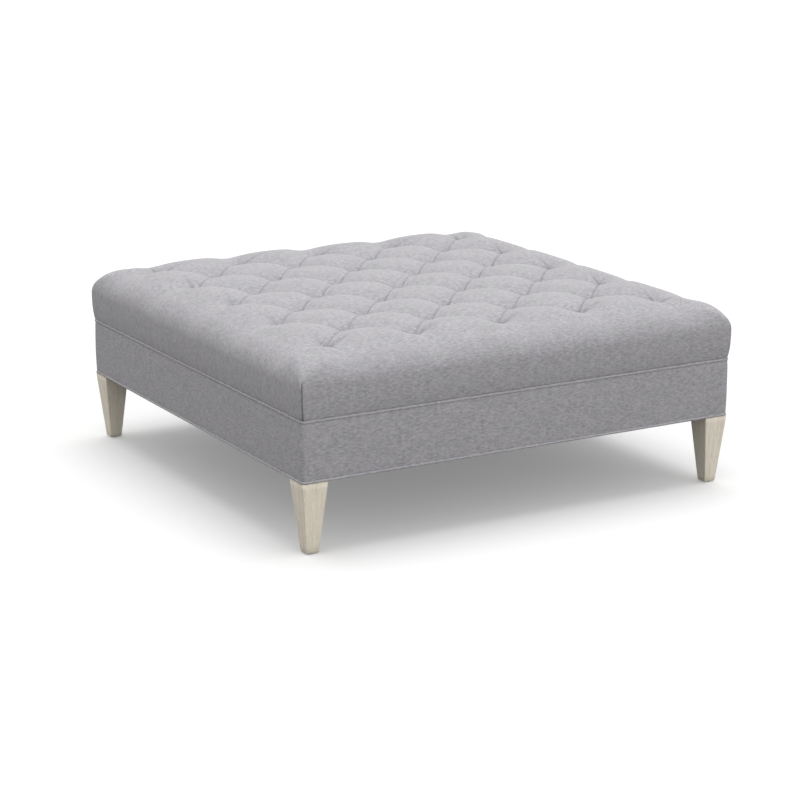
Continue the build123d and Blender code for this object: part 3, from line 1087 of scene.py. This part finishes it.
def dust_edge(x, y):
    """Distance in from the cut edge of the dust cover, round its notches for the legs."""
    outer = np.maximum(np.abs(x), np.abs(y))
    inner = np.minimum(np.abs(x), np.abs(y))
    to_notch = np.hypot(np.maximum(notch - outer, 0), np.maximum(notch - inner, 0))
    return np.minimum(dust_half - outer, to_notch)


def dust_underside(x, y):
    """Level of the sheet's underside: it sags, puckers between staples and is double at its hem."""
    edge = dust_edge(x, y)
    sag = dust_sag * (1 - (x / dust_half) ** 2) * (1 - (y / dust_half) ** 2)
    beside = on_side(np.stack([x, y], 2))
    pucker = pucker_depth * (1 - np.cos(2 * pi * beside / staple_spacing)) / 2
    hem = dust_thickness * (edge < dust_hem * nearly_one)
    return dust_low.z - sag - pucker * hump(edge - dust_hem, pucker_reach) * (edge > dust_hem) - hem


def staple_points(x, y, turned):
    """Rings along one staple's bent wire, its crown under the sheet and its legs up into the rail."""
    turn = 2 * pi * np.arange(staple_sides) / staple_sides
    aside, outward = staple_wire * np.cos(turn), staple_wire * np.sin(turn)
    half = staple_crown / 2
    under = dust_low.z - dust_thickness - staple_wire
    path = (
        (-half, dust_high.z, -1, 0),
        (-half, under, -1, -1),
        (half, under, 1, -1),
        (half, dust_high.z, 1, 0),
    )
    rings = []
    for along, level, out_along, out_level in path:
        ring = [along + outward * out_along, aside, level + outward * out_level]
        if turned:
            ring = [-ring[1], ring[0], ring[2]]
        rings.append(np.stack([x + ring[0], y + ring[1], ring[2]], 1))
    return np.concatenate(rings)


def staples(name):
    """One piece of all the staples along the four sides."""
    reach = staple_spacing * floor((notch - dust_hem) / staple_spacing)
    places = np.arange(-reach, reach + staple_spacing / 2, staple_spacing)
    points, faces = [], []
    for place in places:
        for x, y, turned in (
            (place, -staple_line, False),
            (place, staple_line, False),
            (-staple_line, place, True),
            (staple_line, place, True),
        ):
            start = len(points) * staple_rings * staple_sides
            points.append(staple_points(x, y, turned))
            for ring in range(staple_rings - 1):
                for side in range(staple_sides):
                    following = (side + 1) % staple_sides
                    a, b = start + ring * staple_sides, start + (ring + 1) * staple_sides
                    faces.append([a + side, a + following, b + following, b + side])
            end = [start + side for side in range(staple_sides)]
            faces += [end[::-1], [number + (staple_rings - 1) * staple_sides for number in end]]
    return mesh_piece(name, np.concatenate(points), faces)


notch_lines = np.linspace(notch, dust_half - dust_hem, notch_steps + 1)
outer_lines = np.append(notch_lines, dust_half)
middle_lines = np.linspace(-notch, notch, middle_steps + 1)[1:-1]
dust_line = np.concatenate([-outer_lines[::-1], middle_lines, outer_lines])
dust_sheet = slab(
    "dust_cover_sheet",
    dust_line,
    lambda x, y: np.minimum(np.abs(x), np.abs(y)) < notch,
    dust_underside,
    dust_thickness,
)
dress(dust_sheet, cambric)
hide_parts("dust_cover")
dust_staples = staples("dust_cover_staples")
dress(dust_staples, zinc)

# Camera of the photograph, as fitted to its corners and edges
camera_place = (-2.5432, -4.4016, 1.4917)
camera_tilt = radians(75.094)
camera_heading = radians(-30.015)
camera_lens = 102.24
camera_film = 36
camera_data = bpy.data.cameras.new("camera")
camera_data.lens = camera_lens
camera_data.sensor_width = camera_film
camera = placed("camera", camera_data)
camera.location = camera_place
camera.rotation_euler = (camera_tilt, 0, camera_heading)
scene.camera = camera
scene.view_settings.view_transform = "Standard"

# Floor and background: white to the camera, with the object's shadow kept, and clear from below
floor_reach = 40
floor_albedo = 0.18  # for light on its way to the object
floor_white = 0.97  # for the camera
shadow_lift = 0.2
floor_mesh = bpy.data.meshes.new("floor")
floor_corners = [(x * floor_reach, y * floor_reach, 0) for x, y in ((-1, -1), (1, -1), (1, 1), (-1, 1))]
floor_mesh.from_pydata(floor_corners, [], [(0, 1, 2, 3)])
ground = placed("floor", floor_mesh)


def seen_by_camera(tree):
    """1 for rays from the camera, a mirror or glass, and 0 for light on its way to the object."""
    rays = node(tree, "LightPath").outputs
    seen = maths(tree, "MAXIMUM", rays["Is Camera Ray"], rays["Is Glossy Ray"])
    return maths(tree, "MAXIMUM", seen, rays["Is Transmission Ray"])


floor_material = bpy.data.materials.new("floor")
floor_material.use_nodes = True
tree = floor_material.node_tree
tree.nodes.remove(tree.nodes["Principled BSDF"])
seen = seen_by_camera(tree)
bounce, white = (
    node(tree, "BsdfDiffuse", {"Color": (grey, grey, grey, 1)}) for grey in (floor_albedo, floor_white)
)
lift = node(tree, "Emission")
shown = node(tree, "MixShader", {0: shadow_lift, 1: white.outputs[0], 2: lift.outputs[0]})
both = node(tree, "MixShader", {0: seen, 1: bounce.outputs[0], 2: shown.outputs[0]})
from_below = node(tree, "NewGeometry").outputs["Backfacing"]
clear = node(tree, "BsdfTransparent")
one_sided = node(tree, "MixShader", {0: from_below, 1: both.outputs[0], 2: clear.outputs[0]})
tree.links.new(one_sided.outputs[0], tree.nodes["Material Output"].inputs["Surface"])
floor_mesh.materials.append(floor_material)

# Soft studio light: an even white surround, a wide softbox overhead and a weak fill in front
world_light = 0.74  # the surround's strength on the object; the camera sees it as white
lamps = (  # name, strength, width in degrees, and where its light comes from
    ("softbox", 0.42, 45, (0.08, 0.1, 1)),
    ("front_fill", 0.25, 60, (0.35, -1, 0.15)),
)
world = bpy.data.worlds.new("studio")
scene.world = world
world.use_nodes = True
tree = world.node_tree
backdrop = tree.nodes["Background"]
backdrop.inputs["Color"].default_value = (1, 1, 1, 1)
seen = seen_by_camera(tree)
strength = maths(tree, "MULTIPLY_ADD", seen, 1 - world_light, world_light)
tree.links.new(strength, backdrop.inputs["Strength"])

for name, light, width, comes_from in lamps:
    lamp_data = bpy.data.lights.new(name, "SUN")
    lamp_data.energy = light * pi
    lamp_data.angle = radians(width)
    lamp = placed(name, lamp_data)
    lamp.rotation_euler = Vector(comes_from).to_track_quat("Z", "Y").to_euler()
